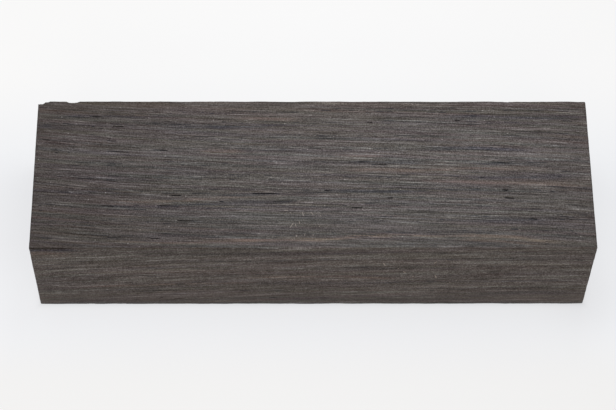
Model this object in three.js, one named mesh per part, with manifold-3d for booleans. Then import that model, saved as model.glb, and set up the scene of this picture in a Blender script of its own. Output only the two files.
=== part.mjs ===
// A block of stabilised black oak: bog oak filled with resin, sawn square, as a blank for handles.
// Millimetres, +Z up. The grain runs along X. The origin is the middle of the face that the block rests on.
// The block is one solid. Open vessels are cut into its long faces, fine drying checks into its end grain,
// and the splinters that broke off its arrises are cut away.

import * as THREE from "three";
import { RoundedBoxGeometry } from "three/addons/geometries/RoundedBoxGeometry.js";
import { mergeVertices } from "three/addons/utils/BufferGeometryUtils.js";
import Module from "manifold-3d";

// Driving dimensions
const LENGTH = 131;
const WIDTH = 40;
const HEIGHT = 28.4;
const ARRIS_RADIUS = 0.35;
const ARRIS_STEPS = 2;

// Growth rings are circles round a pith that lies outside the block, low and in front of it
const PITH_Y = -86.2;
const PITH_Z = -55;
const RING_WIDTH = 2.7;
const EARLYWOOD_SHARE = 0.4;
const RING_DRIFT = 0.012; // how far a ring moves sideways for each millimetre along the grain
const SLOW_YEARS = { from: 104.5, to: 110, gain: 1.4 }; // radii between which the rings are narrower

// The fibres run along the block, and turn towards the front near its ends
const FIBRE_TURN = 2.1e-5; // on the top and base, times x squared
const FIBRE_RISE = { rate: 8e-4, level: 40 }; // on the front and back, they rise until x = 40

// Open vessels, cut lengthwise by the saw
const VESSEL_SIDES = 6;
const VESSEL_SHOULDER = 0.2; // a vessel is widest as far as this from its middle, as a share of its length
const VESSEL_LENGTH = { min: 1.1, max: 8.5, bias: 2.2 };
const VESSEL_WIDTH = { min: 0.26, max: 0.42 };
const VESSEL_DEPTH_SHARE = 0.8;
const VESSEL_SLANT = 0.02; // how far it may stray from the fibres, for each millimetre along
const VESSEL_LIFT = 0.02; // a vessel's widest line lies this far above the face
const FACE_MARGIN = 0.9; // no vessel comes nearer to an arris than this
const CLEAR_MIDDLE = 2.5; // the middle of each face stays whole, to glue or clamp on
const SEED = 20114;

// The long faces: the middle, the way across the grain, the outward normal and how many vessels are drawn
const FACES = [
  { middle: [0, 0, HEIGHT], across: [0, 1, 0], out: [0, 0, 1], span: WIDTH, vessels: 46 },
  { middle: [0, -WIDTH / 2, HEIGHT / 2], across: [0, 0, 1], out: [0, -1, 0], span: HEIGHT, vessels: 44 },
  { middle: [0, WIDTH / 2, HEIGHT / 2], across: [0, 0, 1], out: [0, 1, 0], span: HEIGHT, vessels: 44 },
  { middle: [0, 0, 0], across: [0, 1, 0], out: [0, 0, -1], span: WIDTH, vessels: 58 },
];

// The largest open vessels of the top face, as seen: x and y of the middle, and length
const TOP_VESSELS = [
  [3.6, -4.65, 2.8],
  [-6.5, -7.45, 8.2],
  [-21.4, -7.55, 1.4],
  [-11.1, -5.4, 9.1],
  [18.0, -6.65, 2.2],
  [-33.8, -8.8, 7.4],
  [-31.9, -5.95, 3.5],
  [-36.0, 6.4, 5.0],
  [-51.3, 15.6, 4.8],
  [-46.2, 12.9, 3.8],
  [38.4, 15.85, 1.8],
  [45.0, -4.5, 2.2],
  [52.5, -4.5, 2.6],
  [32.5, -0.75, 5.4],
  [44.4, 2.9, 7.6],
  [46.6, -14.95, 2.6],
  [50.9, -12.3, 3.5],
  [46.0, -6.7, 3.7],
];
const TOP_VESSEL_WIDTH = 0.42;

// Drying checks open along the rays of the end grain
const CHECKS_PER_END = 6;
const CHECK_LENGTH = { min: 2.4, max: 6.5, bias: 1.4 };
const CHECK_WIDTH = { min: 0.2, max: 0.3 };
const CHECK_DEPTH_SHARE = 1.4;
const CHECK_MARGIN = 4.5;

// Splinters broken off the long arrises: x of the middle, half length, how far each reaches over the flat
// and down the side, and which arris it is on: side 1 is the back one, top 1 the upper one
const CHIPS = [
  { x: -LENGTH / 2, half: 2.7, over: 0.66, down: 0.7, side: 1, top: 1 },
  { x: -57.2, half: 1.5, over: 0.34, down: 0.4, side: 1, top: 1 },
  { x: -61.2, half: 5.6, over: 0.5, down: 0.95, side: -1, top: 1 },
  { x: -53.2, half: 1.2, over: 0.35, down: 0.3, side: -1, top: -1 },
  { x: -45.4, half: 0.9, over: 0.35, down: 0.25, side: -1, top: -1 },
  { x: 21.5, half: 3.2, over: 0.4, down: 0.45, side: 1, top: -1 },
  { x: LENGTH / 2, half: 2.1, over: 0.5, down: 0.55, side: 1, top: -1 },
  { x: 47.0, half: 1.6, over: 0.3, down: 0.35, side: 1, top: 1 },
];
const CHIP_ROUGHNESS = 0.12;
const CHIP_WAVES = [5, 9, 13]; // how fast the roughness changes over each axis of a chip

const OAK = { color: 0x57514e, roughness: 0.6, metalness: 0 };

// Park and Miller's generator, so that every build draws the same numbers
const DRAW_FACTOR = 48271;
const DRAW_PRIME = 2147483647;

const WELD = 1e-5; // vertices nearer than this are one

const wasm = await Module();
wasm.setup();

function drawer(seed) {
  let state = seed;
  return () => {
    state = (state * DRAW_FACTOR) % DRAW_PRIME;
    return state / DRAW_PRIME;
  };
}

function between(range, share) {
  return range.min + (range.max - range.min) * share ** (range.bias ?? 1);
}

function welded(geometry) {
  const bare = geometry.clone();
  bare.deleteAttribute("normal");
  bare.deleteAttribute("uv");
  return mergeVertices(bare, WELD);
}

function solidFrom(geometry) {
  const merged = welded(geometry);
  const mesh = new wasm.Mesh({
    numProp: 3,
    vertProperties: new Float32Array(merged.attributes.position.array),
    triVerts: new Uint32Array(merged.index.array),
  });
  return new wasm.Manifold(mesh);
}

function geometryFrom(solid) {
  const mesh = solid.getMesh();
  const geometry = new THREE.BufferGeometry();
  geometry.setAttribute("position", new THREE.BufferAttribute(new Float32Array(mesh.vertProperties), 3));
  geometry.setIndex(new THREE.BufferAttribute(new Uint32Array(mesh.triVerts), 1));
  geometry.computeVertexNormals();
  return geometry;
}

// Where a point lies between one ring and the next, from 0 to 1
function ringPhase(point) {
  const radius = Math.hypot(point.y - PITH_Y - RING_DRIFT * point.x, point.z - PITH_Z);
  const slow = 1 - THREE.MathUtils.smoothstep(radius, SLOW_YEARS.from, SLOW_YEARS.to);
  const rings = (radius - SLOW_YEARS.gain * slow) / RING_WIDTH;
  return rings - Math.floor(rings);
}

// How far the fibres in a face move across it for each millimetre along
function fibreSlope(face, x) {
  const level = face.out[1] === 0;
  return level ? -FIBRE_TURN * x * x : FIBRE_RISE.rate * (FIBRE_RISE.level - x);
}

// A closed spindle, 1 long along X and 1 across, with a blunt middle and fine tips.
// It starts half a side round, so that its widest edges lie level.
function spindle() {
  const profile = [
    [0, -0.5],
    [0.5, -VESSEL_SHOULDER],
    [0.5, VESSEL_SHOULDER],
    [0, 0.5],
  ].map(([radius, along]) => new THREE.Vector2(radius, along));
  return new THREE.LatheGeometry(profile, VESSEL_SIDES, Math.PI / VESSEL_SIDES).rotateZ(-Math.PI / 2);
}

// A spindle laid in a surface: along and out are unit vectors, depth is how far it goes below the surface
function groove(middle, along, out, { length, width, depth }) {
  const across = new THREE.Vector3().crossVectors(out, along);
  const place = new THREE.Matrix4().makeBasis(along, across, out);
  place.setPosition(middle.clone().addScaledVector(out, VESSEL_LIFT));
  const shape = new THREE.Matrix4().makeScale(length, width, depth * 2);
  return spindle().applyMatrix4(place.multiply(shape));
}

function vesselAt(face, x, v, length, width, slant) {
  const across = new THREE.Vector3(...face.across);
  const out = new THREE.Vector3(...face.out);
  const along = new THREE.Vector3(1, 0, 0).addScaledVector(across, slant).normalize();
  const middle = new THREE.Vector3(...face.middle).addScaledVector(across, v);
  middle.x += x;
  return groove(middle, along, out, { length, width, depth: width * VESSEL_DEPTH_SHARE });
}

// Vessels lie where a face crosses the porous earlywood of each ring
function drawnVessels(face, draw) {
  const across = new THREE.Vector3(...face.across);
  const found = [];
  while (found.length < face.vessels) {
    const length = between(VESSEL_LENGTH, draw());
    const width = between(VESSEL_WIDTH, draw());
    const x = (draw() - 0.5) * (LENGTH - length - 2 * FACE_MARGIN);
    const v = (draw() - 0.5) * (face.span - 2 * FACE_MARGIN);
    const slant = fibreSlope(face, x) + (draw() - 0.5) * 2 * VESSEL_SLANT;
    const point = new THREE.Vector3(...face.middle).addScaledVector(across, v);
    point.x += x;
    const overMiddle = Math.abs(v) < CLEAR_MIDDLE && Math.abs(x) < length / 2 + CLEAR_MIDDLE;
    if (ringPhase(point) < EARLYWOOD_SHARE && !overMiddle) {
      found.push(vesselAt(face, x, v, length, width, slant));
    }
  }
  return found;
}

function endChecks(side, draw) {
  const out = new THREE.Vector3(side, 0, 0);
  const found = [];
  while (found.length < CHECKS_PER_END) {
    const y = (draw() - 0.5) * (WIDTH - 2 * CHECK_MARGIN);
    const rise = (draw() - 0.5) * (HEIGHT - 2 * CHECK_MARGIN);
    const width = between(CHECK_WIDTH, draw());
    const length = between(CHECK_LENGTH, draw());
    const middle = new THREE.Vector3((side * LENGTH) / 2, y, HEIGHT / 2 + rise);
    const ray = new THREE.Vector3(0, middle.y - PITH_Y, middle.z - PITH_Z).normalize();
    if (Math.hypot(y, rise) > length / 2 + CLEAR_MIDDLE) {
      found.push(groove(middle, ray, out, { length, width, depth: width * CHECK_DEPTH_SHARE }));
    }
  }
  return found;
}

// A splinter's hollow: a ragged ellipsoid centred on the arris
function chipHollow(chip) {
  const lump = welded(new THREE.IcosahedronGeometry(1, 1));
  const places = lump.attributes.position;
  const waves = new THREE.Vector3(...CHIP_WAVES);
  for (let i = 0; i < places.count; i += 1) {
    const point = new THREE.Vector3().fromBufferAttribute(places, i);
    point.multiplyScalar(1 + CHIP_ROUGHNESS * Math.sin(point.dot(waves) + chip.x));
    places.setXYZ(i, point.x, point.y, point.z);
  }
  lump.scale(chip.half, chip.over, chip.down);
  return lump.translate(chip.x, (chip.side * WIDTH) / 2, chip.top > 0 ? HEIGHT : 0);
}

function block() {
  const draw = drawer(SEED);
  const sawn = new RoundedBoxGeometry(LENGTH, WIDTH, HEIGHT, ARRIS_STEPS, ARRIS_RADIUS);
  sawn.translate(0, 0, HEIGHT / 2);
  const hollows = [
    ...TOP_VESSELS.map(([x, y, length]) => vesselAt(FACES[0], x, y, length, TOP_VESSEL_WIDTH, 0)),
    ...FACES.flatMap((face) => drawnVessels(face, draw)),
    ...[-1, 1].flatMap((side) => endChecks(side, draw)),
    ...CHIPS.map(chipHollow),
  ];
  const solid = hollows.reduce((left, hollow) => left.subtract(solidFrom(hollow)), solidFrom(sawn));
  const mesh = new THREE.Mesh(geometryFrom(solid), new THREE.MeshStandardMaterial(OAK));
  mesh.name = "oak_block";
  return mesh;
}

const part = new THREE.Group();
part.add(block());

export default part;
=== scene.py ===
"""A block of stabilised black oak on a pale table, seen from above its long side."""

import math
from collections import namedtuple

import bpy
import numpy as np
from mathutils import Matrix, Vector
from mathutils.geometry import delaunay_2d_cdt


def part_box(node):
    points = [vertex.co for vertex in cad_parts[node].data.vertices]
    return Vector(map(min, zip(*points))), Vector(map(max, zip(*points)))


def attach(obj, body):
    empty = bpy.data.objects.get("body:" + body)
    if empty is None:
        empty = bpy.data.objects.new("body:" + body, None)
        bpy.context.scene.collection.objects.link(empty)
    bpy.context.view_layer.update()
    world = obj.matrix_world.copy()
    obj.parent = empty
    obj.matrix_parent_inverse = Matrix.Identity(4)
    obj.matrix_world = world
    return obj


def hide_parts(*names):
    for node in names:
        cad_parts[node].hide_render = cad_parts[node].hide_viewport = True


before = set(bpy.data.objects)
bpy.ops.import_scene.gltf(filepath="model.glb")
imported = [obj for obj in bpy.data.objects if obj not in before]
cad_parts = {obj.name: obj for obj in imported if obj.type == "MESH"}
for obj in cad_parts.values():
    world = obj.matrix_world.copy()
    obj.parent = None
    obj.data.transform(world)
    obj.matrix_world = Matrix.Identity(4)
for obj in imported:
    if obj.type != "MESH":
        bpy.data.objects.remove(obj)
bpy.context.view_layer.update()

MM = 0.001  # metres in a millimetre: lengths below are in millimetres
X = np.array([1.0, 0.0, 0.0])
Y = np.array([0.0, 1.0, 0.0])
Z = np.array([0.0, 0.0, 1.0])

# The block's size comes from the CAD solid
LOW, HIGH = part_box("oak_block")
LENGTH, WIDTH, HEIGHT = (round(side / MM, 3) for side in HIGH - LOW)

# Growth rings are circles round a pith below and in front of the block, as in the CAD part
PITH_Y = -86.2
PITH_Z = -55.0
RING_WIDTH = 2.7
EARLYWOOD_SHARE = 0.4
RING_DRIFT = 0.012
SLOW_YEARS = (104.5, 110.0, 1.4)  # from this radius to this one the rings gain so much

# How the vessels slope, as in the CAD part: on the top how fast with x squared, on the front how fast with x
# and at which x they lie level
FIBRE_TURN = 2.1e-5
FIBRE_RISE = (8e-4, 40.0)
# How the finer fibres of the material sink towards +x: what x squared, x and 1 are multiplied by
TOP_FLOW = (1.4e-5, -2e-4, 0.031)
FRONT_FLOW = (0.0, 8e-4, -0.058)

# The grooves of the CAD part: open vessels and drying checks. Three numbers are the least, the most, and the
# power that the draw is raised to
DRAW_FACTOR = 48271
DRAW_PRIME = 2147483647
SEED = 20114
FACE_MARGIN = 0.9
CLEAR_MIDDLE = 2.5
VESSEL_LENGTH = (1.1, 8.5, 2.2)
VESSEL_WIDTH = (0.26, 0.42, 1.0)
VESSEL_DEPTH_SHARE = 0.8
VESSEL_SLANT = 0.02
CHECKS_PER_END = 6
CHECK_LENGTH = (2.4, 6.5, 1.4)
CHECK_WIDTH = (0.2, 0.3, 1.0)
CHECK_DEPTH_SHARE = 1.4
CHECK_MARGIN = 4.5
TOP_VESSEL_WIDTH = 0.42
# The dark filling of a vessel shows narrower than the CAD groove: the share for placed ones, for those that
# only the scene has, and for drawn ones
PLACED_SHARE = 0.8
MORE_SHARE = 0.6
DRAWN_SHARE = 0.65
# Vessels placed on the top: x and y of the middle, and the length
TOP_VESSELS = [
    (3.6, -4.65, 2.8), (-6.5, -7.45, 8.2), (-21.4, -7.55, 1.4), (-11.1, -5.4, 9.1),
    (18.0, -6.65, 2.2), (-33.8, -8.8, 7.4), (-31.9, -5.95, 3.5), (-36.0, 6.4, 5.0),
    (-51.3, 15.6, 4.8), (-46.2, 12.9, 3.8), (38.4, 15.85, 1.8), (45.0, -4.5, 2.2),
    (52.5, -4.5, 2.6), (32.5, -0.75, 5.4), (44.4, 2.9, 7.6), (46.6, -14.95, 2.6),
    (50.9, -12.3, 3.5), (46.0, -6.7, 3.7),
]
# The same, left out of the CAD part
MORE_TOP_VESSELS = [
    (-24.0, 16.5, 1.6), (-29.0, 12.8, 4.2), (-14.0, -5.7, 3.6), (-19.0, -1.7, 1.8),
    (18.5, 17.9, 3.0), (12.0, 3.2, 4.0), (15.5, -0.9, 2.2), (25.5, -4.7, 2.8),
    (25.5, -6.35, 2.6), (32.0, 6.6, 3.4), (39.5, -1.15, 2.4), (52.0, -1.0, 2.2),
    (58.0, -0.9, 2.0), (56.0, -4.9, 1.6),
]

# Finer vessels, which the CAD part leaves out
FINE_LENGTH = (0.9, 7.5, 2.0)
FINE_WIDTH = (0.1, 0.24, 1.4)
FINE_DEPTH_SHARE = 0.6
PIT_WIDTH = (0.16, 0.3, 1.0)  # vessels cut square across, in the end grain
PIT_DEPTH_SHARE = 0.5
PIT_STRETCH = 0.4  # a pit is longer than wide by up to this share
GROOVE_GAP = 0.12  # the least distance between two grooves

# A groove from above is a lens. As shares of its length, width, half length and depth: half of its widest
# part, its width between there and a tip, how far its bottom line reaches, and how deep the line's ends are
SHOULDER = 0.2
WAIST = 0.68
BOTTOM_REACH = 0.62
BOTTOM_END_DEPTH = 0.75
# A groove is short when its length is below this many widths, and then it is rounder
SHORT_BELOW = 3
SHORT_WAIST = 0.82
SHORT_BOTTOM_REACH = 0.2

# Pale scratches on the top, near its middle: x and y of both ends
SCRATCHES = [
    (-2.63, -10.31, -2.18, -11.61), (-0.64, -10.31, 0.03, -11.26), (1.54, -11.27, 1.77, -11.48),
    (2.07, -11.74, 2.28, -11.96), (-3.27, -12.8, -3.21, -13.68), (-4.57, -13.15, -5.62, -14.92),
    (-4.2, -13.45, -3.98, -14.5), (-6.86, -9.98, -5.82, -9.98), (1.35, -14.08, 1.35, -14.4),
    (-2.07, -16.24, -2.07, -16.66), (-0.12, -16.32, -0.13, -16.72), (-3.92, -16.5, -3.92, -17.03),
]
# The same on the front: x and z of both ends
FRONT_SCRATCHES = [
    (16.31, 21.31, 16.92, 19.66), (19.95, 18.46, 20.08, 18.2), (21.2, 16.94, 21.8, 16.13),
    (23.59, 14.4, 23.72, 14.2), (28.79, 15.11, 29.29, 13.17), (33.95, 12.34, 34.09, 12.34),
    (32.49, 11.42, 32.6, 11.26), (28.16, 20.75, 28.88, 21.94), (30.97, 22.33, 31.11, 22.33),
]
SCRATCH_WIDTH = 0.18
FRONT_SCRATCH_WIDTH = 0.3
SCRATCH_DEPTH = 0.03

# Splinters broken off the long arrises: x of the middle, half length, how far each reaches over the flat
# and down the side, which arris it is on (side 1 is the back one, top 1 the upper one), and how abruptly
# it ends along the arris
PLAIN = 2  # as abruptly as an ellipsoid
CHIPS = [
    (-LENGTH / 2, 1.45, 0.78, 1.35, 1, 1, 10),
    (-LENGTH / 2, 3.2, 0.42, 0.7, 1, 1, PLAIN),
    (-57.2, 1.5, 0.45, 0.75, 1, 1, 5),
    (-61.2, 5.6, 0.25, 0.6, -1, 1, PLAIN),
    (-53.2, 1.2, 0.35, 0.3, -1, -1, PLAIN),
    (-45.4, 0.9, 0.35, 0.25, -1, -1, PLAIN),
    (21.5, 3.2, 0.4, 0.45, 1, -1, PLAIN),
    (LENGTH / 2, 2.1, 0.5, 0.55, 1, -1, PLAIN),
    (47.0, 1.6, 0.3, 0.35, 1, 1, PLAIN),
]
CHIP_ROUGHNESS = 0.12
CHIP_WAVES = np.array([5.0, 9.0, 13.0])
CARVE_STEP = 0.01
CARVE_DEPTH = 1.5
TORN_DEPTH = 0.15  # wood carved this deep looks fully torn

# Small knocks: how many, the chance that one is on an arris along x, y or z, how far it reaches across the
# arris and along it, and how rough it is
NICKS = 90
NICK_AXES = [0.7, 0.18, 0.12]
NICK_SIZE = (0.1, 0.2)
NICK_LENGTH = (0.3, 1.4)
NICK_ROUGHNESS = 0.2

# The arrises: their mean radius, and the lines of the mesh beside them
ARRIS_RADIUS = 0.28
ARRIS_WEAR = 0.3  # how much the radius varies, as a share
WEAR_WAVES = [(9.0, 5, 1.0), (2.2, 6, 0.6)]  # the length, seed and weight of each
WEAR_LIMITS = (-1.2, 1.8)
ARRIS_LINES = [0.0, 0.06, 0.13, 0.21, 0.32, 0.55, 1.0]
LINE_STEP = 0.36
LATTICE_STEP = 4.0

# The sides aren't quite flat: by how much, over which length, and the seeds for x, y and z
UNDULATION = 0.02
WAVE_LENGTH = 14.0
WAVE_SPEEDS = (0.6, 1.6)
WAVES = 7  # so many sines make one smooth field
WAVE_SEEDS = (11, 12, 13)
CREASE = math.radians(22)


HALF = np.array([LENGTH, WIDTH, HEIGHT]) / 2
MIDDLE = Z * HEIGHT / 2


class Face(namedtuple("Face", "name along across out size")):
    """One side of the block: the two ways across it, its outward normal and its size."""

    def place(self, u, v, rise=0.0):
        """The places of u and v on this side, lifted off it by rise."""
        flat = MIDDLE + HALF * self.out + np.outer(u, self.along) + np.outer(v, self.across)
        return flat + np.outer(np.broadcast_to(rise, np.shape(u)), self.out)


TOP = Face("top", X, Y, Z, (LENGTH, WIDTH))
FRONT = Face("front", X, Z, -Y, (LENGTH, HEIGHT))
BACK = Face("back", X, Z, Y, (LENGTH, HEIGHT))
BASE = Face("base", X, Y, -Z, (LENGTH, WIDTH))
LEFT = Face("left", Y, Z, -X, (WIDTH, HEIGHT))
RIGHT = Face("right", Y, Z, X, (WIDTH, HEIGHT))
SIDES = [TOP, FRONT, BACK, BASE, LEFT, RIGHT]
DRAWN_VESSELS = [(TOP, 46), (FRONT, 44), (BACK, 44), (BASE, 58)]
FINE_VESSELS = [(TOP, 620), (FRONT, 480), (BACK, 480), (BASE, 620)]
PITS = [(LEFT, 420), (RIGHT, 420)]


def drawer(seed):
    """Park and Miller's generator, which gives the CAD part's own draws."""
    state = seed

    def draw():
        nonlocal state
        state = (state * DRAW_FACTOR) % DRAW_PRIME
        return state / DRAW_PRIME

    return draw


def between(limits, share):
    """A value between two limits, for a share from 0 to 1."""
    low, high, bias = limits
    return low + (high - low) * share**bias


def ring_phase(point):
    """Where a point lies between one ring and the next, from 0 to 1."""
    x, y, z = point
    radius = math.hypot(y - PITH_Y - RING_DRIFT * x, z - PITH_Z)
    start, end, gain = SLOW_YEARS
    share = min(max((radius - start) / (end - start), 0.0), 1.0)
    slow = 1 - share * share * (3 - 2 * share)
    return (radius - gain * slow) / RING_WIDTH % 1.0


def fibre_slope(face, x):
    """The slope of the vessels on a long side."""
    if face.out[1] == 0:
        return -FIBRE_TURN * x * x
    return FIBRE_RISE[0] * (FIBRE_RISE[1] - x)


def groove(u, v, angle, length, width, depth, vessel=1.0, scratch=0.0):
    """A groove in a side, and how much of a vessel or of a scratch it is."""
    shape = dict(u=u, v=v, angle=angle, length=length, width=width, depth=depth)
    return dict(shape, vessel=vessel, scratch=scratch)


def vessel(face, draw, length, width, depth_share):
    """A vessel somewhere on a long face, or None where it can't be."""
    x = (draw() - 0.5) * (LENGTH - length - 2 * FACE_MARGIN)
    v = (draw() - 0.5) * (face.size[1] - 2 * FACE_MARGIN)
    slant = fibre_slope(face, x) + (draw() - 0.5) * 2 * VESSEL_SLANT
    point = face.place(np.array([x]), np.array([v]))[0]
    over_middle = abs(v) < CLEAR_MIDDLE and abs(x) < length / 2 + CLEAR_MIDDLE
    if ring_phase(point) >= EARLYWOOD_SHARE or over_middle:
        return None
    return groove(x, v, math.atan(slant), length, width, width * depth_share)


def vessels(face, count, draw, lengths, widths, depth_share):
    """So many vessels, drawn where a long side is porous."""
    found = []
    while len(found) < count:
        length = between(lengths, draw())
        width = between(widths, draw())
        one = vessel(face, draw, length, width, depth_share)
        if one:
            found.append(one)
    return found


def cad_grooves():
    """The grooves of the CAD part and the dashes on the top that it leaves out, by the name of their face."""
    draw = drawer(SEED)
    found = {face.name: [] for face in SIDES}
    listed = [(place, PLACED_SHARE) for place in TOP_VESSELS]
    listed += [(place, MORE_SHARE) for place in MORE_TOP_VESSELS]
    for (x, y, length), share in listed:
        width = TOP_VESSEL_WIDTH * share
        slant = math.atan(fibre_slope(TOP, x))
        found["top"].append(groove(x, y, slant, length, width, width * VESSEL_DEPTH_SHARE))
    for face, count in DRAWN_VESSELS:
        drawn = vessels(face, count, draw, VESSEL_LENGTH, VESSEL_WIDTH, VESSEL_DEPTH_SHARE)
        for one in drawn:
            one["width"] *= DRAWN_SHARE
        found[face.name] += drawn
    for face in (LEFT, RIGHT):
        while len(found[face.name]) < CHECKS_PER_END:
            y = (draw() - 0.5) * (WIDTH - 2 * CHECK_MARGIN)
            rise = (draw() - 0.5) * (HEIGHT - 2 * CHECK_MARGIN)
            width = between(CHECK_WIDTH, draw())
            length = between(CHECK_LENGTH, draw())
            angle = math.atan2(HEIGHT / 2 + rise - PITH_Z, y - PITH_Y)
            if math.hypot(y, rise) > length / 2 + CLEAR_MIDDLE:
                depth = width * CHECK_DEPTH_SHARE
                found[face.name].append(groove(y, rise, angle, length, width, depth))
    return found


def reach(one):
    """Half the room that a groove takes along u and along v."""
    half = one["length"] / 2
    side = one["width"] / 2
    c = abs(math.cos(one["angle"]))
    s = abs(math.sin(one["angle"]))
    return half * c + side * s + GROOVE_GAP / 2, half * s + side * c + GROOVE_GAP / 2


def clear_of(taken, u, v, room_u=0.0, room_v=0.0):
    """Whether a place with some room round it keeps clear of others, each given as u, v and its reaches."""
    apart_u = np.abs(taken[:, 0] - u) > taken[:, 2] + room_u
    apart_v = np.abs(taken[:, 1] - v) > taken[:, 3] + room_v
    return bool(np.all(apart_u | apart_v))


def held_inside(face, one):
    """Moves a groove inwards if it reaches the closer mesh lines by the arrises."""
    for axis, room, size in zip("uv", reach(one), face.size):
        most = size / 2 - ARRIS_LINES[-1] - room
        one[axis] = min(max(one[axis], -most), most)


def apart(face, grooves):
    """The grooves that don't touch an earlier one."""
    kept = []
    taken = np.zeros((0, 4))
    for one in grooves:
        held_inside(face, one)
        spot = [one["u"], one["v"], *reach(one)]
        if clear_of(taken, *spot):
            kept.append(one)
            taken = np.vstack([taken, spot])
    return kept


def pits(face, count, draw):
    """Vessels cut square across, most of them in the earlywood."""
    found = []
    while len(found) < count:
        u = (draw() - 0.5) * (face.size[0] - 2 * FACE_MARGIN - PIT_WIDTH[1])
        v = (draw() - 0.5) * (face.size[1] - 2 * FACE_MARGIN - PIT_WIDTH[1])
        width = between(PIT_WIDTH, draw())
        if ring_phase(face.place(np.array([u]), np.array([v]))[0]) < EARLYWOOD_SHARE / 2:
            long = width * (1 + PIT_STRETCH * draw())
            found.append(groove(u, v, math.pi * draw(), long, width, width * PIT_DEPTH_SHARE))
    return found


def scratches(ends, lift, width):
    """Scratches from pairs of places. The face's middle is at lift on the scale of their second number."""
    found = []
    for u0, v0, u1, v1 in ends:
        length = math.hypot(u1 - u0, v1 - v0) + width
        angle = math.atan2(v1 - v0, u1 - u0)
        middle = ((u0 + u1) / 2, (v0 + v1) / 2 - lift)
        found.append(groove(*middle, angle, length, width, SCRATCH_DEPTH, 0.0, 1.0))
    return found


def all_grooves():
    """Everything that is cut into the sides. Where two would touch, the earlier one is kept."""
    found = cad_grooves()
    found["top"] = scratches(SCRATCHES, 0.0, SCRATCH_WIDTH) + found["top"]
    found["front"] = scratches(FRONT_SCRATCHES, HEIGHT / 2, FRONT_SCRATCH_WIDTH) + found["front"]
    draw = drawer(SEED + 1)
    for face, count in FINE_VESSELS:
        found[face.name] += vessels(face, count, draw, FINE_LENGTH, FINE_WIDTH, FINE_DEPTH_SHARE)
    for face, count in PITS:
        found[face.name] += pits(face, count, draw)
    return {face.name: apart(face, found[face.name]) for face in SIDES}


def groove_points(one):
    """A groove's outline and bottom line: u, v, the share of its depth, and how many points go round it."""
    half = one["length"] / 2
    side = one["width"] / 2
    shoulder = one["length"] * SHOULDER
    between_tips = (half + shoulder) / 2
    short = one["length"] < SHORT_BELOW * one["width"]
    waist = SHORT_WAIST if short else WAIST
    outline = [(-half, 0.0)]
    stations = [(-between_tips, waist), (-shoulder, 1.0), (shoulder, 1.0), (between_tips, waist)]
    outline += [(along, -side * share) for along, share in stations]
    outline += [(half, 0.0)]
    outline += [(along, side * share) for along, share in reversed(stations)]
    end = half * BOTTOM_REACH
    bottom = [(-end, 0.0), (-shoulder, 0.0), (shoulder, 0.0), (end, 0.0)]
    sunk = [BOTTOM_END_DEPTH, 1.0, 1.0, BOTTOM_END_DEPTH]
    if short:
        end = half * SHORT_BOTTOM_REACH
        bottom = [(-end, 0.0), (end, 0.0)]
        sunk = [1.0, 1.0]
    c = math.cos(one["angle"])
    s = math.sin(one["angle"])
    points = np.array(outline + bottom)
    u = one["u"] + points[:, 0] * c - points[:, 1] * s
    v = one["v"] + points[:, 0] * s + points[:, 1] * c
    deep = np.array([0.0] * len(outline) + sunk)
    return u, v, deep, len(outline)


def lines(size):
    """Where the mesh lines of a side cross it: close together by the arrises."""
    start = np.array(ARRIS_LINES)
    inner = size - 2 * start[-1]
    steps = math.ceil(inner / LINE_STEP)
    body = start[-1] + inner * np.arange(1, steps) / steps
    return np.concatenate([start, body, size - start[::-1]]) - size / 2


def rim_mesh(face):
    """The grid beside the arrises: its points, triangles, and the loop of points that bounds the inside."""
    us = lines(face.size[0])
    vs = lines(face.size[1])
    edge = len(ARRIS_LINES) - 1
    last_u = len(us) - 1
    last_v = len(vs) - 1
    number = {}
    points = []
    triangles = []

    def index(i, j):
        if (i, j) not in number:
            number[i, j] = len(points)
            points.append((us[i], vs[j]))
        return number[i, j]

    for i in range(last_u):
        for j in range(last_v):
            inside = edge <= i < last_u - edge and edge <= j < last_v - edge
            if not inside:
                a, b, c, d = index(i, j), index(i + 1, j), index(i + 1, j + 1), index(i, j + 1)
                triangles += [(a, b, c), (a, c, d)]
    low_side = [(i, edge) for i in range(edge, last_u - edge)]
    right_side = [(last_u - edge, j) for j in range(edge, last_v - edge)]
    high_side = [(i, last_v - edge) for i in range(last_u - edge, edge, -1)]
    left_side = [(edge, j) for j in range(last_v - edge, edge, -1)]
    loop = [number[place] for place in low_side + right_side + high_side + left_side]
    return points, triangles, loop


def lattice(face, grooves):
    """Sparse points over the inside of a face that lie clear of its grooves."""
    taken = np.array([[one["u"], one["v"], *reach(one)] for one in grooves])
    inset = ARRIS_LINES[-1]
    found = []
    counts = [max(int((size - 2 * inset) / LATTICE_STEP), 2) for size in face.size]
    for i in range(1, counts[0]):
        for j in range(1, counts[1]):
            u = (i / counts[0] - 0.5) * (face.size[0] - 2 * inset)
            v = (j / counts[1] - 0.5) * (face.size[1] - 2 * inset)
            if clear_of(taken, u, v):
                found.append((u, v))
    return found


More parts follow.
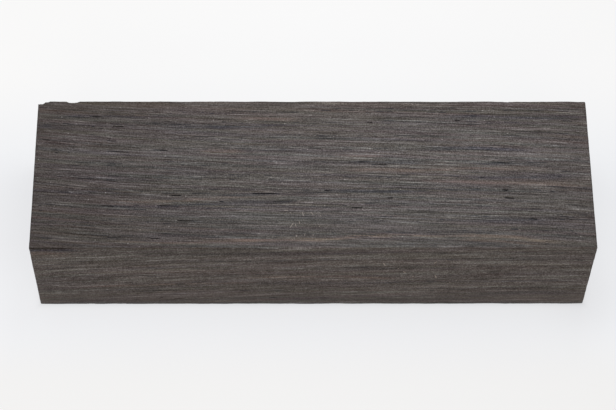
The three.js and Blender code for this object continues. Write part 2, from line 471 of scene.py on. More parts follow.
def face_mesh(face, grooves):
    """One side of the block: u, v, depth, vessel and scratch for each point, and the triangles."""
    points, triangles, loop = rim_mesh(face)
    rows = [(u, v, 0.0, 0.0, 0.0) for u, v in points]
    inner = list(loop)
    edges = [(k, (k + 1) % len(loop)) for k in range(len(loop))]
    for one in grooves:
        u, v, deep, round_it = groove_points(one)
        first = len(inner)
        inner += range(len(rows), len(rows) + len(u))
        depth = -one["depth"] * deep
        rows += list(zip(u, v, depth, deep * one["vessel"], deep * one["scratch"]))
        edges += [(first + k, first + (k + 1) % round_it) for k in range(round_it)]
        edges += [(first + k, first + k + 1) for k in range(round_it, len(u) - 1)]
    for u, v in lattice(face, grooves):
        inner.append(len(rows))
        rows.append((u, v, 0.0, 0.0, 0.0))
    flat = [Vector(rows[k][:2]) for k in inner]
    _, _, faces, origins, _, _ = delaunay_2d_cdt(flat, edges, [], 0, 1e-6, True)
    source = [inner[origin[0]] for origin in origins]
    triangles += [tuple(source[k] for k in corners) for corners in faces]
    if np.dot(np.cross(face.along, face.across), face.out) < 0:
        triangles = [corners[::-1] for corners in triangles]
    return np.array(rows), np.array(triangles)


def waves(points, length, seed):
    """A smooth field between about -1 and 1, from sines with seeded directions and phases."""
    random = np.random.default_rng(seed)
    ways = random.normal(size=(WAVES, 3))
    ways /= np.linalg.norm(ways, axis=1, keepdims=True)
    speeds = 2 * math.pi / length * random.uniform(*WAVE_SPEEDS, WAVES)
    phases = random.uniform(0, 2 * math.pi, WAVES)
    return np.sin(points @ (ways * speeds[:, None]).T + phases).sum(1) / math.sqrt(WAVES)


def rounded(points):
    """The flat box's points moved onto worn, rounded arrises."""
    wear = sum(weight * waves(points, length, seed) for length, seed, weight in WEAR_WAVES)
    radius = ARRIS_RADIUS * (1 + ARRIS_WEAR * np.clip(wear, *WEAR_LIMITS))
    centred = points - MIDDLE
    held = np.clip(centred, -(HALF - radius[:, None]), HALF - radius[:, None])
    out = centred - held
    far = np.linalg.norm(out, axis=1)
    moved = held + out * (radius / np.maximum(far, 1e-9))[:, None]
    return MIDDLE + np.where((far > 0)[:, None], moved, centred)


def nicks():
    """Small knocks spread over the arrises."""
    random = np.random.default_rng(SEED)
    found = []
    for _ in range(NICKS):
        along = random.choice(3, p=NICK_AXES)
        signs = random.choice([-1.0, 1.0], 3)
        centre = HALF * signs
        centre[along] = random.uniform(-1, 1) * HALF[along]
        size = random.uniform(*NICK_SIZE, 3)
        size[along] = random.uniform(*NICK_LENGTH)
        inward = -signs
        inward[along] = 0.0
        found.append((MIDDLE + centre, size, inward / math.sqrt(2), NICK_ROUGHNESS, PLAIN))
    return found


def chips():
    """The hollows that broken splinters leave, as carve takes them."""
    found = []
    for x, half, over, down, side, top, abrupt in CHIPS:
        centre = np.array([x, side * WIDTH / 2, HEIGHT if top > 0 else 0.0])
        inward = np.array([0.0, -side, -top]) / math.sqrt(2)
        found.append((centre, np.array([half, over, down]), inward, CHIP_ROUGHNESS, abrupt))
    return found


def carve(points, hollow):
    """Pushes the points that lie in a hollow inwards, onto its far side. Says how deep each went."""
    centre, size, inward, roughness, abrupt = hollow
    widest = float(size.max()) * 1.3  # with room for the ragged outline
    near = np.flatnonzero(np.all(np.abs(points - centre) < widest, axis=1))

    def inside(places):
        unit = (places - centre) / size
        ragged = np.sin(unit @ CHIP_WAVES + centre[0]) + 0.5 * np.sin(unit @ CHIP_WAVES[::-1] * 3)
        far = np.abs(unit[:, 0]) ** abrupt + unit[:, 1] ** 2 + unit[:, 2] ** 2
        return np.sqrt(far) < 1 + roughness * ragged

    travelled = np.zeros(len(near))
    for _ in range(int(CARVE_DEPTH / CARVE_STEP)):
        still = inside(points[near] + np.outer(travelled, inward))
        if not still.any():
            break
        travelled[still] += CARVE_STEP
    points[near] += np.outer(travelled, inward)
    return near, travelled


def uv_layout():
    """Where each side starts on the material map, and how wide and tall the map is, in millimetres."""
    gap = 1.5
    starts = {}
    rise = gap
    for face in (TOP, FRONT, BASE, BACK):
        starts[face.name] = (gap, rise)
        rise += face.size[1] + gap
    tall = rise
    wide = LENGTH + 2 * gap
    rise = gap
    for face in (LEFT, RIGHT):
        starts[face.name] = (wide, rise)
        rise += face.size[1] + gap
    return starts, (wide + WIDTH + gap, tall)


def build_block():
    """The whole surface as one closed mesh: points, triangles, map, and how marked and torn each point is."""
    grooves = all_grooves()
    starts, map_size = uv_layout()
    places = []
    tones = []
    corners = []
    flat_uv = []
    first = 0
    for face in SIDES:
        rows, triangles = face_mesh(face, grooves[face.name])
        places.append(face.place(rows[:, 0], rows[:, 1], rows[:, 2]))
        tones.append(rows[:, 3:5])
        corners.append(triangles + first)
        local = rows[:, :2] + np.array(face.size) / 2 + np.array(starts[face.name])
        flat_uv.append((local / np.array(map_size))[triangles])
        first += len(rows)
    points = np.concatenate(places)
    tones = np.concatenate(tones)
    corners = np.concatenate(corners)
    flat_uv = np.concatenate(flat_uv).reshape(-1, 2)
    _, kept, merged = np.unique(np.round(points, 4), axis=0, return_index=True, return_inverse=True)
    points = points[kept]
    tones = tones[kept]
    corners = merged.reshape(-1)[corners]
    points = rounded(points)
    torn = np.zeros(len(points))
    for hollow in chips() + nicks():
        near, travelled = carve(points, hollow)
        torn[near] = np.maximum(torn[near], np.minimum(travelled / TORN_DEPTH, 1.0))
    drift = np.stack([waves(points, WAVE_LENGTH, seed) for seed in WAVE_SEEDS], 1)
    points = points + drift * UNDULATION / 2
    return points, corners, flat_uv, tones, torn


def placed(name, data):
    """A new object in the scene."""
    holder = bpy.data.objects.new(name, data)
    bpy.context.scene.collection.objects.link(holder)
    return holder


def block_object():
    """The block as an object, with its map, its attributes and its material."""
    points, corners, flat_uv, tones, torn = build_block()
    mesh = bpy.data.meshes.new("block")
    mesh.from_pydata((points * MM).tolist(), [], corners.tolist())
    mesh.uv_layers.new(name="OFBake").uv.foreach_set("vector", flat_uv.astype(np.float32).ravel())
    for name, values in (("vessel", tones[:, 0]), ("scratch", tones[:, 1]), ("torn", torn)):
        mesh.attributes.new(name, "FLOAT", "POINT").data.foreach_set("value", values.astype(np.float32))
    mesh.polygons.foreach_set("use_smooth", [True] * len(mesh.polygons))
    mesh.set_sharp_from_angle(angle=CREASE)
    mesh.materials.append(oak_material())
    return placed("block", mesh)


class Nodes:
    """Short ways to add shader nodes to a tree and join them."""

    def __init__(self, tree):
        self.tree = tree
        tree.nodes.clear()

    def add(self, kind, inputs=None, **settings):
        node = self.tree.nodes.new(kind)
        for name, value in settings.items():
            setattr(node, name, value)
        for name, value in (inputs or {}).items():
            self.set(node.inputs[name], value)
        return node

    def set(self, socket, value):
        if isinstance(value, bpy.types.NodeSocket):
            self.tree.links.new(value, socket)
        else:
            socket.default_value = value

    def worked_out(self, kind, operation, values):
        node = self.add(kind, operation=operation)
        for socket, value in zip(node.inputs, values):
            self.set(socket, value)
        return node.outputs[0]

    def math(self, operation, *values):
        return self.worked_out("ShaderNodeMath", operation, values)

    def times(self, a, b):
        return self.math("MULTIPLY", a, b)

    def plus(self, a, b):
        return self.math("ADD", a, b)

    def minus(self, a, b):
        return self.math("SUBTRACT", a, b)

    def vector(self, operation, *values):
        return self.worked_out("ShaderNodeVectorMath", operation, values)

    def combine(self, x, y, z):
        return self.add("ShaderNodeCombineXYZ", {"X": x, "Y": y, "Z": z}).outputs[0]

    def split(self, vector):
        return self.add("ShaderNodeSeparateXYZ", {"Vector": vector}).outputs

    def scaled(self, vector, sizes):
        return self.vector("DIVIDE", vector, sizes)

    def noise(self, vector, detail=0.0):
        """A noise from 0 to 1, about 0.5."""
        inputs = {"Vector": vector, "Scale": 1.0, "Detail": detail, "Roughness": 0.5}
        return self.add("ShaderNodeTexNoise", inputs).outputs["Fac"]

    def streaks(self, fibre, along, across, shift):
        """Noise stretched along the fibres, moved by shift so that no two layers are alike, from -1 to 1."""
        moved = self.vector("ADD", self.scaled(fibre, (along, across, across)), (shift, shift, shift))
        return self.math("MULTIPLY_ADD", self.noise(moved), 2.0, -1.0)

    def patches(self, vector, lengths, start, end, low=0.0, high=1.0):
        """Goes from low to high where noise with these lengths goes from start to end."""
        return self.ramp(self.noise(self.scaled(vector, lengths), 1.0), start, end, low, high)

    def cells(self, vector, lengths, shift):
        """Distance to the nearest of many scattered points, and three random numbers for that point."""
        moved = self.vector("ADD", self.scaled(vector, lengths), (shift, shift, shift))
        node = self.add("ShaderNodeTexVoronoi", {"Vector": moved, "Scale": 1.0})
        random = self.add("ShaderNodeSeparateColor", {"Color": node.outputs["Color"]}).outputs
        return node.outputs["Distance"], random

    def ramp(self, value, start, end, low=0.0, high=1.0):
        """Goes smoothly from low to high while the value goes from start to end."""
        inputs = {"Value": value, "From Min": start, "From Max": end, "To Min": low, "To Max": high}
        return self.add("ShaderNodeMapRange", inputs, interpolation_type="SMOOTHSTEP").outputs[0]

    def mix(self, share, a, b):
        """From a to b. This node's sockets are found by number, because their names repeat."""
        node = self.add("ShaderNodeMix", data_type="RGBA", clamp_factor=True)
        self.set(node.inputs[0], share)
        self.set(node.inputs[6], a)
        self.set(node.inputs[7], b)
        return node.outputs[2]

    def attribute(self, name):
        return self.add("ShaderNodeAttribute", attribute_name=name).outputs["Fac"]

    def scale(self, vector, share):
        node = self.add("ShaderNodeVectorMath", operation="SCALE")
        self.set(node.inputs[0], vector)
        self.set(node.inputs["Scale"], share)
        return node.outputs[0]

    def curve(self, value, points):
        """A smooth curve through points, its input and its result both from 0 to 1."""
        node = self.add("ShaderNodeFloatCurve", {"Value": value})
        line = node.mapping.curves[0]
        line.points[0].location = points[0]
        line.points[1].location = points[-1]
        for point in points[1:-1]:
            line.points.new(*point)
        node.mapping.update()
        return node.outputs[0]

    def total(self, weighted):
        """The sum of each value times its weight."""
        result = 0.0
        for value, weight in weighted:
            result = self.math("MULTIPLY_ADD", value, weight, result)
        return result


def srgb(*colour):
    """A display colour, 0 to 255, as the linear colour that nodes take."""
    shares = [value / 255 for value in colour]
    linear = [share / 12.92 if share <= 0.04045 else ((share + 0.055) / 1.055) ** 2.4 for share in shares]
    return (*linear, 1.0)


def seen(red, green, blue):
    """A display colour, or a step in one, as shares."""
    return (red / 255, green / 255, blue / 255, 1.0)


# Bands of lighter and darker wood: places along each, its half width in millimetres, and how much it adds to
# red, green and blue. On the top a place is x and y, on the front it is x and z.
TAN = (17, 12, 8)
PALE_TAN = (26, 20, 15)
SEPIA = (10, 6, 3)
PINK = (14, 9, 7)
GREY = (10, 10, 10)
NAVY = (-12, -10, -6)
BROWN = (-9, -9, -8)
BLACK = (-33, -31, -25)
TOP_BANDS = [
    ([(-4, -17.75), (4, -17.6), (10, -16.9), (28, -17.0)], 0.34, PALE_TAN),
    ([(-22, -17.8), (0, -17.85)], 0.34, PINK),
    ([(30, -16.9), (36, -16.65), (43, -16.95), (50, -17.7), (56, -18.4)], 0.34, PALE_TAN),
    ([(35, -17.7), (44, -18.2), (52, -18.9)], 0.25, SEPIA),
    ([(28, -2.1), (38, -2.6), (52, -2.8), (62, -3.5)], 0.5, PINK),
    ([(8, 1.0), (28, 1.0), (42, 1.5), (54, 1.0)], 0.4, PINK),
    ([(-47, -7.4), (-36, -7.6), (-24, -6.8), (-8, -6.3)], 0.3, PINK),
    ([(20, -8.8), (32, -9.7), (48, -10.3)], 0.2, GREY),
    ([(6, 4.9), (16, 4.4)], 0.35, PINK),
    ([(-18, 15.2), (-4, 15.0)], 0.5, PINK),
    ([(-53, 10.8), (-46, 10.6)], 0.5, GREY),
    ([(-26, 6.1), (-17, 6.0)], 0.6, TAN),
    ([(48, 5.2), (62, 4.4)], 1.4, GREY),
    ([(-45, -18.2), (-28, -18.4), (-8, -17.8)], 0.35, PINK),
    ([(9, 3.2), (25, 3.1)], 0.5, NAVY),
    ([(27, 6.6), (34, 6.9), (51, 6.1)], 0.45, NAVY),
    ([(36, 3.0), (46, 2.6), (53, 2.7)], 0.28, NAVY),
    ([(5, -0.4), (21, -0.9)], 0.6, BROWN),
    ([(34, -1.3), (46, -1.2), (61, -0.8)], 0.55, NAVY),
    ([(-22, -5.9), (-6, -5.3), (12, -4.9), (25, -4.9)], 0.35, NAVY),
    ([(40, -12.4), (55, -12.8)], 0.35, NAVY),
    ([(10, -15.6), (24, -15.7)], 0.4, BROWN),
    ([(34, 15.7), (63, 15.5)], 0.5, NAVY),
    ([(19, 12.2), (24, 11.3), (29, 10.1), (41, 10.1)], 0.35, BROWN),
    ([(-61, 15.5), (-55, 15.9), (-46, 15.6), (-32, 15.7)], 0.35, NAVY),
    ([(-50, -8.6), (-42, -9.0), (-34, -8.8), (-24, -8.1), (-8, -7.7)], 0.4, NAVY),
    ([(-48, 1.8), (-24, 2.0)], 0.3, BROWN),
    ([(-34, 12.9), (-22, 12.7), (-6, 13.4)], 0.3, NAVY),
    ([(-28, 4.7), (-14, 5.1)], 0.25, BROWN),
]
# Broader and fainter changes, which hide no fibres
TOP_SHADES = [
    ([(-90, -16.0), (90, -16.0)], 6.0, (-4, -4, -4)),
    ([(-90, -4.8), (90, -4.4)], 1.3, (-4, -4, -4)),
    ([(-90, 5.2), (90, 5.2)], 2.0, (4, 4, 4)),
    ([(-90, 18.4), (90, 18.4)], 2.6, (1.2, 0, -1.2)),
    ([(-90, 1.5), (-25, 1.5)], 7.0, (-0.8, 0, 0.8)),
]
FRONT_BANDS = [
    ([(-52, 16.2), (-28, 18.0), (-14, 19.0), (0, 20.0), (24, 21.0), (44, 20.8), (62, 20.1)], 0.6, GREY),
    ([(-55, 8.9), (-40, 10.0), (-15, 11.3)], 0.3, PINK),
    ([(-25, 23.2), (0, 23.4), (18, 23.5), (30, 24.4)], 0.45, GREY),
    ([(-14, 14.0), (10, 14.2), (18, 13.4)], 0.5, PINK),
    ([(16, 9.6), (28, 9.4), (48, 9.7)], 0.35, GREY),
    ([(-58, 8.1), (-48, 8.5), (-38, 9.0), (-22, 10.2)], 0.3, BROWN),
    ([(-14, 10.4), (0, 10.6), (20, 11.2)], 0.6, BROWN),
    ([(4, 17.9), (16, 18.2), (40, 17.8), (64, 17.6)], 0.5, BROWN),
    ([(-40, 25.5), (-10, 26.0), (12, 26.2)], 0.8, BROWN),
    ([(-60, 1.6), (-30, 2.5), (-12, 3.0), (10, 2.3), (40, 2.6)], 0.9, BROWN),
    ([(40, 6.0), (62, 5.7)], 0.8, BROWN),
    ([(-66, 25.8), (-57, 25.6)], 0.9, SEPIA),
    ([(-66, 27.55), (-55, 27.55)], 0.5, BLACK),
]
FRONT_SHADES = [
    ([(-90, 18.0), (90, 18.0)], 5.0, (3.2, 2.7, 2.4)),
    ([(-90, 8.5), (90, 8.5)], 3.0, (-0.8, -1.2, -2)),
    ([(-90, 1.5), (90, 1.5)], 4.0, (3, 2.3, 2)),
    # Painted shade along the foot of the front and the back, where they stand on the table
    ([(-90, 0.0), (90, 0.0)], 1.1, (-11, -5, -2)),
]

BAND_FADE = 5.0  # a band fades out over this length at its ends, or over a quarter of its own
BAND_REACH = 0.5  # the noise moves the bands by up to this much
BAND_NOISE = (8.0, 0.4, 77.3)  # its length, width and shift

# The pattern is strongest at this x and y of the top and weakens away from it, and it is faint low down
# on the front
LIVELIEST = (15.0, 1.0)
LIVELIEST_STRENGTH = 1.08
FADE_WITH_X = 0.2 / 70**2
FADE_WITH_Y = 0.17 / 18**2
FAINT_BELOW = (2.0, 10.0, 0.55)  # up to this height, from this height on not, and how strong it is there

# How far the fibres and the rings wander, in millimetres, and over which lengths
SWAY_LENGTHS = (45.0, 11.0, 11.0)
TOP_SWAY = 1.4
SIDE_SWAY = 0.6
RING_SWAY = 2.2

# Earlywood begins and ends at these shares of a ring
OPENING = (0.0, 0.12)
CLOSING = (0.2, 0.62)

# Noise stretched along the fibres: its length, its width, and a shift that makes it differ from the others.
# First the fibres, and the display levels that each layer adds at most
FIBRE_LAYERS = [
    ((2.2, 0.2, 3.1), 16.0),
    ((5.4, 0.22, 7.7), 25.0),
    ((12.0, 0.34, 12.3), 20.0),
    ((16.0, 0.18, 21.9), 21.0),
    ((30.0, 0.4, 23.9), 7.5),
    ((110.0, 0.8, 25.3), 4.5),
]
# Pale fibres, of which only the peaks show: from where to where, and their levels
PALE_LAYERS = [
    ((10.0, 0.34, 17.3), (0.3, 0.6), 31.0),
    ((2.0, 0.33, 9.8), (0.36, 0.62), 23.0),
]
EARLY_LEVELS = -5.0  # in the earlywood
EVEN_LEVELS = 0.2  # everywhere
SPECKS = ((0.32, 0.31, 31.2), 28.5)
BROAD = ((26.0, 2.4, 55.1), 9.0)  # on the front and the back alone
FIBRE_STRENGTH = (0.1, 0.82)  # what the sides add to it, and what it is on the flats
SPECK_STRENGTH = (0.35, -0.4, 1.02)  # what the sides and the ends add to it, and what it is on the flats
HIDDEN_BY_BANDS = 0.35  # the share of the fibres that a band hides
CUT_LEVELS = (-11.0, 15.0, 2.0)  # on the sawn ends, for the earlywood, the rays and everywhere
WARMTH_LAYERS = [((40.0, 0.6, 41.3), 0.35), ((9.0, 0.3, 47.9), 0.25)]
WARMTH = (-0.12, 0.53)  # of the earlywood beside the rest, and of the rest
PINK_LAYER = ((25.0, 0.8, 63.7), 1.2)
FINE_LAYERS = [((1.2, 0.12, 51.3), 0.5), ((4.0, 0.25, 57.1), 0.5)]  # for the bump and the gloss

# Noise in patches: its three lengths, the values at which a patch begins and is full, and what it then gives
EARLY_PATCHES = ((30.0, 3.0, 3.0), 0.35, 0.65)
RAYS = ((40.0, 9.0, 0.5), 0.56, 0.72)
BROKEN_RESIN = ((1.3, 0.5, 0.5), 0.36, 0.52, 0.45, 1.0)

# Scattered grains and dashes: their spacing and a shift, and where one ends
DUST_CELLS = ((1.1, 0.9, 0.9), 5.7)
DUST_EDGE = (0.1, 0.2)
DUST_CHANCE = (0.8, 0.92)
DASH_CELLS = ((5.0, 0.7, 0.7), 2.3)
DASH_SIZE = 0.3
DASH_EDGE = (-0.06, 0.05)

# From which amount to which one each of them shows, and from how little to how much
DASH_SHOWN = (0.0, 0.5, 0.2, 0.6)
VESSEL_SHOWN = (0.0, 0.3, 0.0, 0.95)
SCRATCH_SHOWN = (0.0, 0.5, 0.0, 0.6)
TORN_SHOWN = 0.5
BUMP_STRENGTH = 0.35
BUMP_DEPTH = 0.03
ROUGHNESS = (0.06, 0.05, 0.42)  # what the fine fibres and the earlywood add, and the wood's own

# Display colours of the wood and of what lies in it
GREY_WOOD = (66, 63, 64)
WARM_WOOD = (74, 65, 60)
PINK_STEP = (1.2, -1.8, 1.2)
DUST_STEP = (38, 37, 37)
FINE_RESIN = (34, 34, 38)
RESIN = (20, 21, 27)
SCRATCHED = (150, 138, 130)
TORN = (40, 36, 34)
DARKEST = 0.06  # no wood is darker than this share
PALE_RED = (-0.05, 0.99)  # a pale fibre's red: what the sides add to it, and what it is on the flats
PALE_BLUE = (0.05, 1.01)


def bands(n, u, v, size, listed):
    """The colour that the bands of one face add, and where there is one."""
    total = (0.0, 0.0, 0.0)
    where = 0.0
    share = n.math("MULTIPLY_ADD", u, 1 / LENGTH, 0.5)
    for places, half, colour in listed:
        middle = n.curve(share, [(at / LENGTH + 0.5, rise / size + 0.5) for at, rise in places])
        middle = n.math("MULTIPLY_ADD", middle, size, -size / 2)
        off = n.math("DIVIDE", n.minus(v, middle), half)
        band = n.math("EXPONENT", n.times(n.times(off, off), -1.0))
        first, last = places[0][0], places[-1][0]
        fade = min(BAND_FADE, (last - first) / 4)
        band = n.times(band, n.ramp(u, first - fade, first + fade))
        band = n.times(band, n.ramp(u, last - fade, last + fade, 1.0, 0.0))
        total = n.vector("ADD", total, n.scale(seen(*colour)[:3], band))
        where = n.plus(where, band)
    return total, where


def face_bands(n, x, y, z, fibre):
    """The bands of the top and the front. The base and the back have them too, turned end for end."""
    _, side, up = n.split(n.add("ShaderNodeNewGeometry").outputs["True Normal"])
    ragged = n.times(n.streaks(fibre, *BAND_NOISE), BAND_REACH)
    colour = (0.0, 0.0, 0.0)
    where = 0.0
    for v, way, size, listed, shades in (
        (y, up, WIDTH, TOP_BANDS, TOP_SHADES),
        (z, n.times(side, -1.0), 2 * HEIGHT, FRONT_BANDS, FRONT_SHADES),
    ):
        along = n.times(x, n.math("SIGN", way))
        across = n.plus(v, ragged)
        banded, calm = bands(n, along, across, size, listed)
        shade, _ = bands(n, along, across, size, shades)
        facing = n.math("ABSOLUTE", way)
        colour = n.vector("ADD", colour, n.scale(n.vector("ADD", banded, shade), facing))
        where = n.math("MULTIPLY_ADD", calm, facing, where)
    return colour, where


def oak_fields(n):
    """The coordinates that the oak's pattern is drawn in, all in millimetres."""
    place = n.scale(n.add("ShaderNodeTexCoord").outputs["Object"], 1 / MM)
    x, y, z = n.split(place)
    inputs = {"Vector": n.scaled(place, SWAY_LENGTHS), "Scale": 1.0, "Detail": 1.0}
    slow = n.add("ShaderNodeTexNoise", inputs)
    sway = n.split(n.vector("SUBTRACT", slow.outputs["Color"], (0.5, 0.5, 0.5)))
    squared = n.times(x, x)
    turn, rise = (
        n.times(x, n.total([(squared, bend / 3), (x, change / 2), (1.0, slope)]))
        for bend, change, slope in (TOP_FLOW, FRONT_FLOW)
    )
    # The fibres wander within each face and don't run into it: sides is 1 on the front and the back
    normal = n.split(n.add("ShaderNodeNewGeometry").outputs["True Normal"])
    ends = n.math("ABSOLUTE", normal[0])
    sides = n.math("ABSOLUTE", normal[1])
    flats = n.minus(1.0, sides)
    moved_y = n.times(n.total([(sway[0], TOP_SWAY), (turn, 1.0)]), flats)
    moved_z = n.times(n.total([(sway[1], SIDE_SWAY), (rise, 1.0)]), sides)
    fibre = n.combine(x, n.plus(y, moved_y), n.plus(z, moved_z))
    radial_y = n.total([(sway[2], RING_SWAY), (x, -RING_DRIFT), (y, 1.0), (1.0, -PITH_Y)])
    radial_z = n.minus(z, PITH_Z)
    radius = n.math("SQRT", n.plus(n.math("POWER", radial_y, 2.0), n.math("POWER", radial_z, 2.0)))
    start, end, gain = SLOW_YEARS
    lag = n.ramp(radius, start, end, gain, 0.0)
    rings = n.math("DIVIDE", n.minus(radius, lag), RING_WIDTH)
    arc = n.times(n.math("ARCTAN2", radial_z, radial_y), radius)
    round_pith = n.combine(x, radius, arc)
    return place, fibre, rings, round_pith, sides, ends


def new_material(name):
    """An empty material and its nodes."""
    material = bpy.data.materials.new(name)
    material.use_nodes = True
    return material, Nodes(material.node_tree)


def ring_fields(n, rings, fibre):
    """Where the wood is porous earlywood: on the sawn ends, and more patchily along the fibres."""
    phase = n.math("FRACT", rings)
    earlywood = n.times(n.ramp(phase, *OPENING), n.ramp(phase, *CLOSING, 1.0, 0.0))
    return earlywood, n.times(earlywood, n.patches(fibre, *EARLY_PATCHES))


def layers(n, fibre, listed):
    """Layers of stretched noise with their weights, as total takes them."""
    return [(n.streaks(fibre, *shape), weight) for shape, weight in listed]


def strength(n, x, y, z, sides):
    """How strong the pattern of the fibres is at a place."""
    off_x = n.minus(x, LIVELIEST[0])
    off_y = n.minus(y, LIVELIEST[1])
    along = n.times(off_x, off_x)
    across = n.times(off_y, off_y)
    on_flats = n.total([(along, -FADE_WITH_X), (across, -FADE_WITH_Y), (1.0, LIVELIEST_STRENGTH)])
    low, high, least = FAINT_BELOW
    return n.mix(sides, on_flats, n.ramp(z, low, high, least, 1.0))


def grain(n, fibre, early, calm, sides, ends):
    """How much lighter or darker the fibres and specks are than the wood's mean, in display levels."""
    pale = [(n.ramp(n.streaks(fibre, *shape), *shown), levels) for shape, shown, levels in PALE_LAYERS]
    listed = layers(n, fibre, FIBRE_LAYERS) + [(early, EARLY_LEVELS)] + pale + [(1.0, EVEN_LEVELS)]
    fibres = n.times(n.total(listed), n.math("MULTIPLY_ADD", sides, *FIBRE_STRENGTH))
    shape, levels = BROAD
    fibres = n.math("MULTIPLY_ADD", n.times(n.streaks(fibre, *shape), sides), levels, fibres)
    fibres = n.times(fibres, n.math("MULTIPLY_ADD", calm, -HIDDEN_BY_BANDS, 1.0))
    shape, levels = SPECKS
    specks = n.times(n.streaks(fibre, *shape), levels)
    specks = n.times(specks, n.total(zip((sides, ends, 1.0), SPECK_STRENGTH)))
    return n.plus(fibres, specks)


def wood_colour(n, place, fibre, rings, round_pith, sides, ends):
    """The colour of the wood itself, and where it is earlywood."""
    x, y, z = n.split(place)
    earlywood, early = ring_fields(n, rings, fibre)
    banded, calm = face_bands(n, x, y, z, fibre)
    tone = n.times(grain(n, fibre, early, calm, sides, ends), strength(n, x, y, z, sides))

    # The sawn ends show the porous rings darker and the rays as pale lines across them
    rays = n.patches(round_pith, *RAYS)
    cut = n.times(n.total(zip((earlywood, rays, 1.0), CUT_LEVELS)), ends)
    tone = n.plus(tone, cut)

    # The colour is mixed as the eye sees it, so that light and dark fibres are equally warm
    warmth = n.total(layers(n, fibre, WARMTH_LAYERS) + list(zip((early, 1.0), WARMTH)))
    pink = n.total(layers(n, fibre, [PINK_LAYER]) + [(1.0, 0.5)])
    less_pink = [-value for value in PINK_STEP]
    shown = n.mix(warmth, seen(*GREY_WOOD), seen(*WARM_WOOD))
    shown = n.vector("ADD", shown, n.mix(pink, seen(*less_pink), seen(*PINK_STEP)))
    # Pale fibres are a little cooler than dark ones, and more so on the front and the back
    red = n.math("MULTIPLY_ADD", sides, *PALE_RED)
    blue = n.math("MULTIPLY_ADD", sides, *PALE_BLUE)
    shown = n.vector("ADD", shown, n.scale(n.combine(red, 1.0, blue), n.math("DIVIDE", tone, 255.0)))
    shown = n.vector("ADD", shown, banded)
    far, random = n.cells(place, *DUST_CELLS)
    dust = n.times(n.ramp(far, *DUST_EDGE, 1.0, 0.0), n.ramp(random[1], *DUST_CHANCE))
    shown = n.vector("ADD", shown, n.scale(seen(*DUST_STEP)[:3], dust))
    shown = n.vector("MAXIMUM", shown, (DARKEST, DARKEST, DARKEST))
    return n.add("ShaderNodeGamma", {"Color": shown, "Gamma": 2.2}).outputs[0], early


def with_resin(n, colour, fibre, early):
    """The wood with its filled vessels, the scratches and the torn places."""
    # Filled vessels too fine for the mesh: long dark dashes, most in the earlywood
    far, random = n.cells(fibre, *DASH_CELLS)
    size = n.times(random[0], DASH_SIZE)
    dash = n.ramp(n.minus(far, size), *DASH_EDGE, 1.0, 0.0)
    dash = n.times(dash, n.ramp(early, *DASH_SHOWN))
    colour = n.mix(dash, colour, srgb(*FINE_RESIN))

    # The vessels of the mesh are filled with dark resin, its scratches are pale, torn wood is browner
    filled = n.ramp(n.attribute("vessel"), *VESSEL_SHOWN)
    colour = n.mix(n.times(filled, n.patches(fibre, *BROKEN_RESIN)), colour, srgb(*RESIN))
    colour = n.mix(n.ramp(n.attribute("scratch"), *SCRATCH_SHOWN), colour, srgb(*SCRATCHED))
    return n.mix(n.times(n.attribute("torn"), TORN_SHOWN), colour, srgb(*TORN))


def oak_material():
    """Dark oak with a satin gloss."""
    material, n = new_material("black_oak")
    place, fibre, rings, round_pith, sides, ends = oak_fields(n)
    colour, early = wood_colour(n, place, fibre, rings, round_pith, sides, ends)
    fine = n.total(layers(n, fibre, FINE_LAYERS))
    height = {"Height": fine, "Strength": BUMP_STRENGTH, "Distance": BUMP_DEPTH * MM}
    inputs = {
        "Base Color": with_resin(n, colour, fibre, early),
        "Roughness": n.total(zip((fine, early, 1.0), ROUGHNESS)),
        "IOR": 1.5,
        "Specular IOR Level": 0.1,
        "Normal": n.add("ShaderNodeBump", height).outputs[0],
    }
    shader = n.add("ShaderNodeBsdfPrincipled", inputs)
    n.add("ShaderNodeOutputMaterial", {"Surface": shader.outputs[0]})
    return material


# The table is a square sheet of pale paper that glows as painted light: half its side in metres, its colour,
# and how strongly it glows
TABLE_HALF = 3.0
PAPER = (108, 108, 109)
GLOW = 0.74
# Painted light and shade on the paper: the glow changes from this y to that one by so much, behind the block,
# close before it and farther before it
BEHIND = (10.0, 50.0, 0.05)
NEAR = (0.0, -20.0, 0.035)
BEFORE = (-24.0, -44.0, -0.04)
# Painted shade: the glow dims a little towards +x
GLOW_WITH_X = -0.0002
# Painted shade: the glow is cooler at the block than before and behind it
GLOW_COLOURS = ((251, 252, 255), (255, 254, 253))  # at the block, and before and behind it
GLOW_ON_BLOCK = 0.8  # what it sends onto the block is this share of what the camera sees
# Painted shadow of the block on the paper close round it: by this share at its foot, a third of that this far
# off
FOOT_SHADE = (0.13, 0.6)
# More painted shadow beside its near right corner: by this share, at this x and y, as far as this
CORNER_SHADE = (0.065, 68.0, -18.0, 9.0)


def painted_shadow(n, x, y):
    """The share of the paper's glow taken away as painted shadow of the block."""
    off_x = n.minus(n.math("ABSOLUTE", x), LENGTH / 2)
    off_y = n.minus(n.math("ABSOLUTE", y), WIDTH / 2)
    off = n.math("MAXIMUM", n.math("MAXIMUM", off_x, off_y), 0.0)
    share, fall = FOOT_SHADE
    foot = n.math("EXPONENT", n.math("DIVIDE", off, -fall))
    corner_share, corner_x, corner_y, corner_reach = CORNER_SHADE
    off_x = n.minus(x, corner_x)
    off_y = n.minus(y, corner_y)
    squares = n.plus(n.times(off_x, off_x), n.times(off_y, off_y))
    corner = n.math("EXPONENT", n.math("DIVIDE", squares, -corner_reach**2))
    return n.total([(foot, share), (corner, corner_share)])


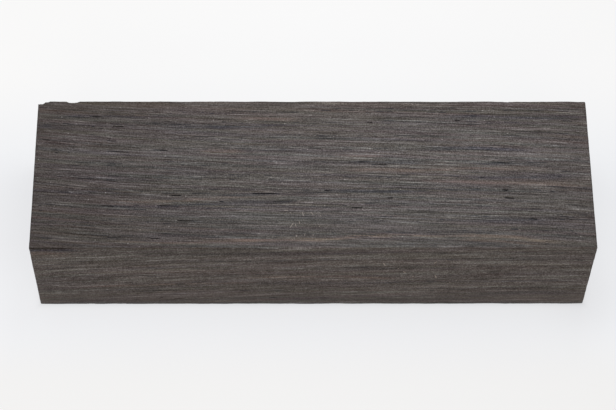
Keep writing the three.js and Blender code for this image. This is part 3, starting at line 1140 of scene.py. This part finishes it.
def table_material():
    """Pale paper that glows with painted light, brighter behind the block, and with painted shadow round the
    block.
    """
    material, n = new_material("pale_table")
    lit = n.add("ShaderNodeBsdfDiffuse", {"Color": srgb(*PAPER)})
    x, y, _ = n.split(n.scale(n.add("ShaderNodeTexCoord").outputs["Object"], 1 / MM))
    # Painted light and shade: the glow changes with y and with x
    behind, near, before = (n.ramp(y, start, end) for start, end, _ in (BEHIND, NEAR, BEFORE))
    changes = [(behind, BEHIND[2]), (near, NEAR[2]), (before, BEFORE[2])]
    glow = n.total(changes + [(x, GLOW_WITH_X), (1.0, GLOW)])
    by_camera = n.add("ShaderNodeLightPath").outputs["Is Camera Ray"]
    glow = n.times(glow, n.math("MULTIPLY_ADD", by_camera, 1 - GLOW_ON_BLOCK, GLOW_ON_BLOCK))
    # Painted shadow of the block, taken out of the glow
    glow = n.times(glow, n.minus(1.0, painted_shadow(n, x, y)))
    tint = n.mix(n.plus(behind, before), *[srgb(*colour) for colour in GLOW_COLOURS])
    glowing = n.add("ShaderNodeEmission", {"Color": tint, "Strength": glow})
    both = n.add("ShaderNodeAddShader")
    n.set(both.inputs[0], lit.outputs[0])
    n.set(both.inputs[1], glowing.outputs[0])
    n.add("ShaderNodeOutputMaterial", {"Surface": both.outputs[0]})
    return material


def table():
    """The table, just below the block's uneven base."""
    corners = [(TABLE_HALF * x, TABLE_HALF * y, 0.0) for x, y in ((-1, -1), (1, -1), (1, 1), (-1, 1))]
    mesh = bpy.data.meshes.new("table")
    mesh.from_pydata(corners, [], [(0, 1, 2, 3)])
    mesh.materials.append(table_material())
    floor = placed("table", mesh)
    floor.location.z = -UNDULATION * MM
    return floor


# The camera, as fitted to the block's corners
CAMERA_AT = np.array([-7.73, -254.68, 463.71])
CAMERA_AIM = np.array([-1.016, -0.514, 14.2])
CAMERA_ROLL = math.radians(-1.298)
CAMERA_LENS = 125.514
SENSOR_WIDTH = 36.0
CLIP = (0.01, 20.0)  # metres

# The lights are areas: place, aim and size in metres, power in watts, and colour
LIGHTS = {
    "overhead": ((0.02, 0.045, 0.18), (0.015, 0.0, 0.028), (0.12, 0.1), 0.255, (0.89, 0.95, 1.0)),
    "fill": ((0.0, -0.6, 0.35), (0.0, 0.0, 0.015), (0.6, 0.3), 2.04, (1.0, 0.885, 0.69)),
}
SKY_COLOUR = (0.97, 0.98, 1.0, 1.0)
SKY_STRENGTH = 0.48


def camera():
    """The camera, turned about its view by the roll."""
    view = CAMERA_AIM - CAMERA_AT
    view /= np.linalg.norm(view)
    right = np.cross(view, Z)
    right /= np.linalg.norm(right)
    up = np.cross(right, view)
    up = up * math.cos(CAMERA_ROLL) + right * math.sin(CAMERA_ROLL)
    right = np.cross(view, up)
    data = bpy.data.cameras.new("camera")
    data.lens = CAMERA_LENS
    data.sensor_width = SENSOR_WIDTH
    data.clip_start, data.clip_end = CLIP
    holder = placed("camera", data)
    turn = Matrix([right, up, -view]).transposed().to_4x4()
    holder.matrix_world = Matrix.Translation(Vector(CAMERA_AT * MM)) @ turn
    bpy.context.scene.camera = holder


def area_light(name, at, aim, size, power, colour):
    """A rectangular light that faces its aim."""
    data = bpy.data.lights.new(name, "AREA")
    data.shape = "RECTANGLE"
    data.size, data.size_y = size
    data.energy = power
    data.color = colour
    light = placed(name, data)
    light.location = at
    light.rotation_euler = (Vector(aim) - Vector(at)).to_track_quat("-Z", "Y").to_euler()


def lights():
    """An even room, a soft box close over the block, and warmer light from the camera's side."""
    world = bpy.data.worlds.new("room")
    world.use_nodes = True
    sky = world.node_tree.nodes["Background"]
    sky.inputs["Color"].default_value = SKY_COLOUR
    sky.inputs["Strength"].default_value = SKY_STRENGTH
    bpy.context.scene.world = world
    for name, settings in LIGHTS.items():
        area_light(name, *settings)


def looks():
    """Colours are shown as they are, without a film look."""
    view = bpy.context.scene.view_settings
    view.view_transform = "Standard"
    view.look = "None"
    view.exposure = 0.0
    view.gamma = 1.0


block = block_object()
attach(block, "root")
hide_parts("oak_block")
table()
camera()
lights()
looks()
